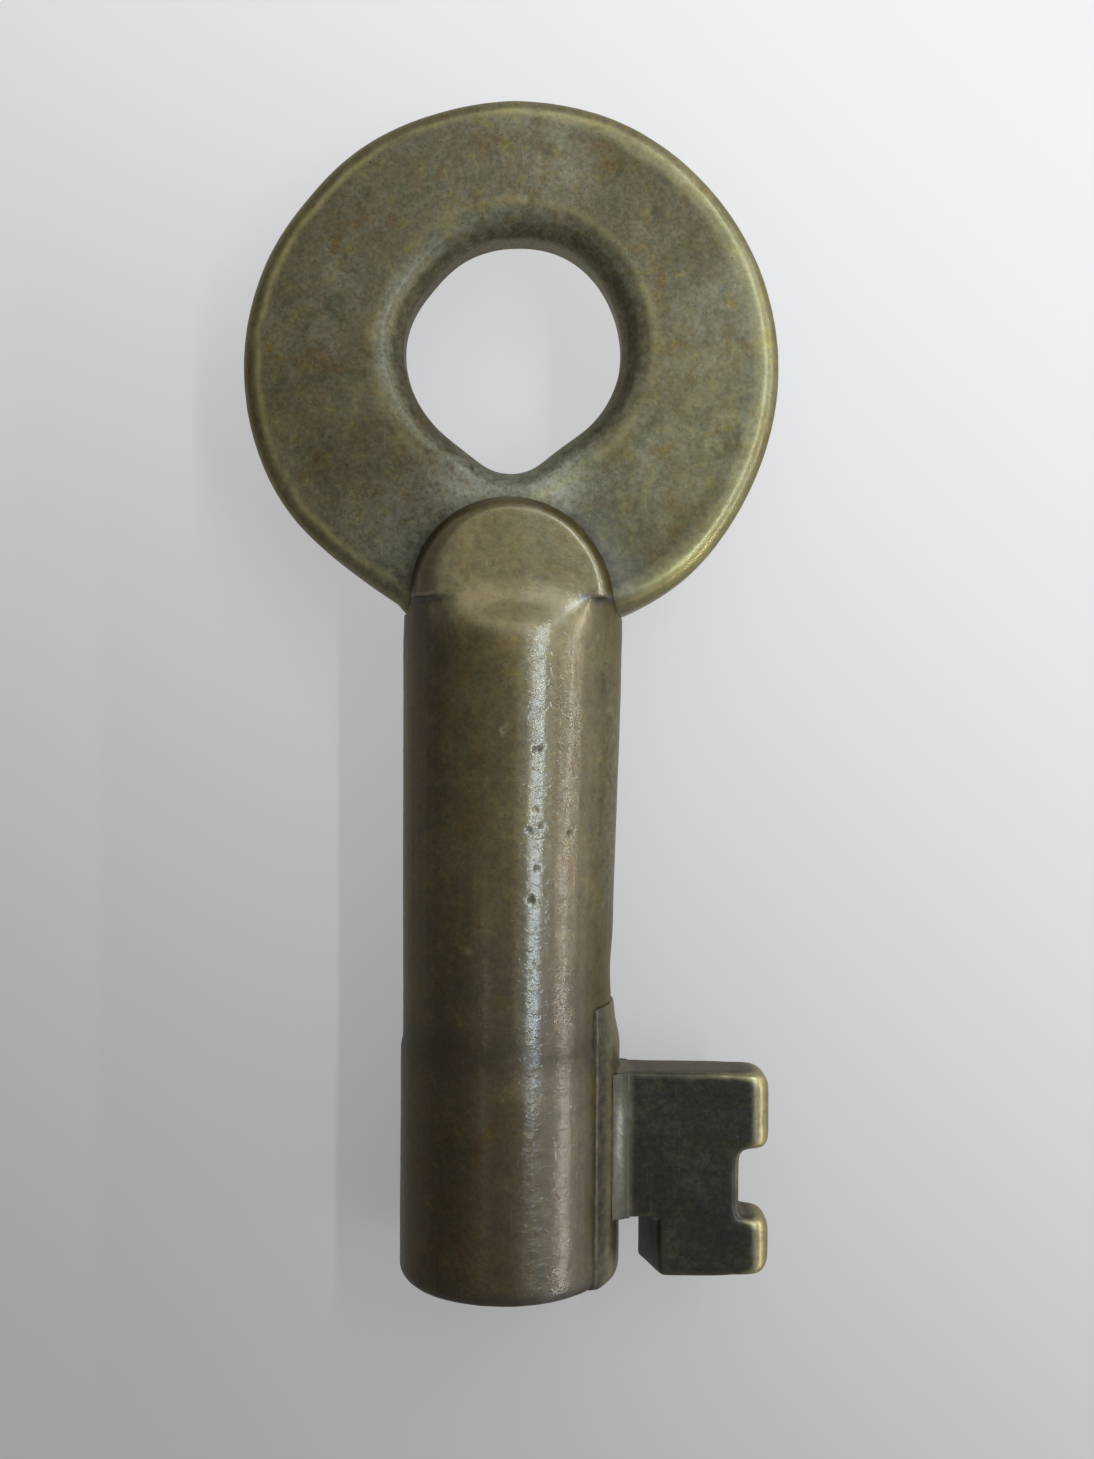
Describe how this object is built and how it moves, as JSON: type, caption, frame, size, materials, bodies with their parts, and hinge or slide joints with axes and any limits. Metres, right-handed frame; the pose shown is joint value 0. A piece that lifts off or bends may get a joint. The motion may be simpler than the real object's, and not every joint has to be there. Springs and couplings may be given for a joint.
{
  "type": "railroad switch key",
  "caption": "Worn brass railroad switch key: round pierced bow for a key ring, stout barrel with a blind bore for the lock's post, and a notched bit that turns the lock's bolt.",
  "frame": {"origin": "centre of the pipe's mouth, on the barrel's axis", "axes": "+Y up the barrel towards the bow, +X towards the bit, +Z square to the bow's face; the key lies flat, as it was pictured"},
  "size_m": [0.0238, 0.0523, 0.0098],
  "materials": {
    "barrel_brass": "old brass handled smooth, brown patina with soft bright wear",
    "bow_brass": "old cast brass, olive patina with a gold rim",
    "bit_brass": "old brass, almost black on its faces and gold at the tip's edges",
    "bit_spelter": "brazing brass, pale and slightly rough",
    "bow_spelter": "brazing brass, dark and greenish"
  },
  "bodies": {
    "root": {"barrel": "barrel_brass", "bow": "bow_brass", "bit": "bit_brass", "bit_braze": "bit_spelter", "bow_braze": "bow_spelter"}
  },
  "joints": []
}
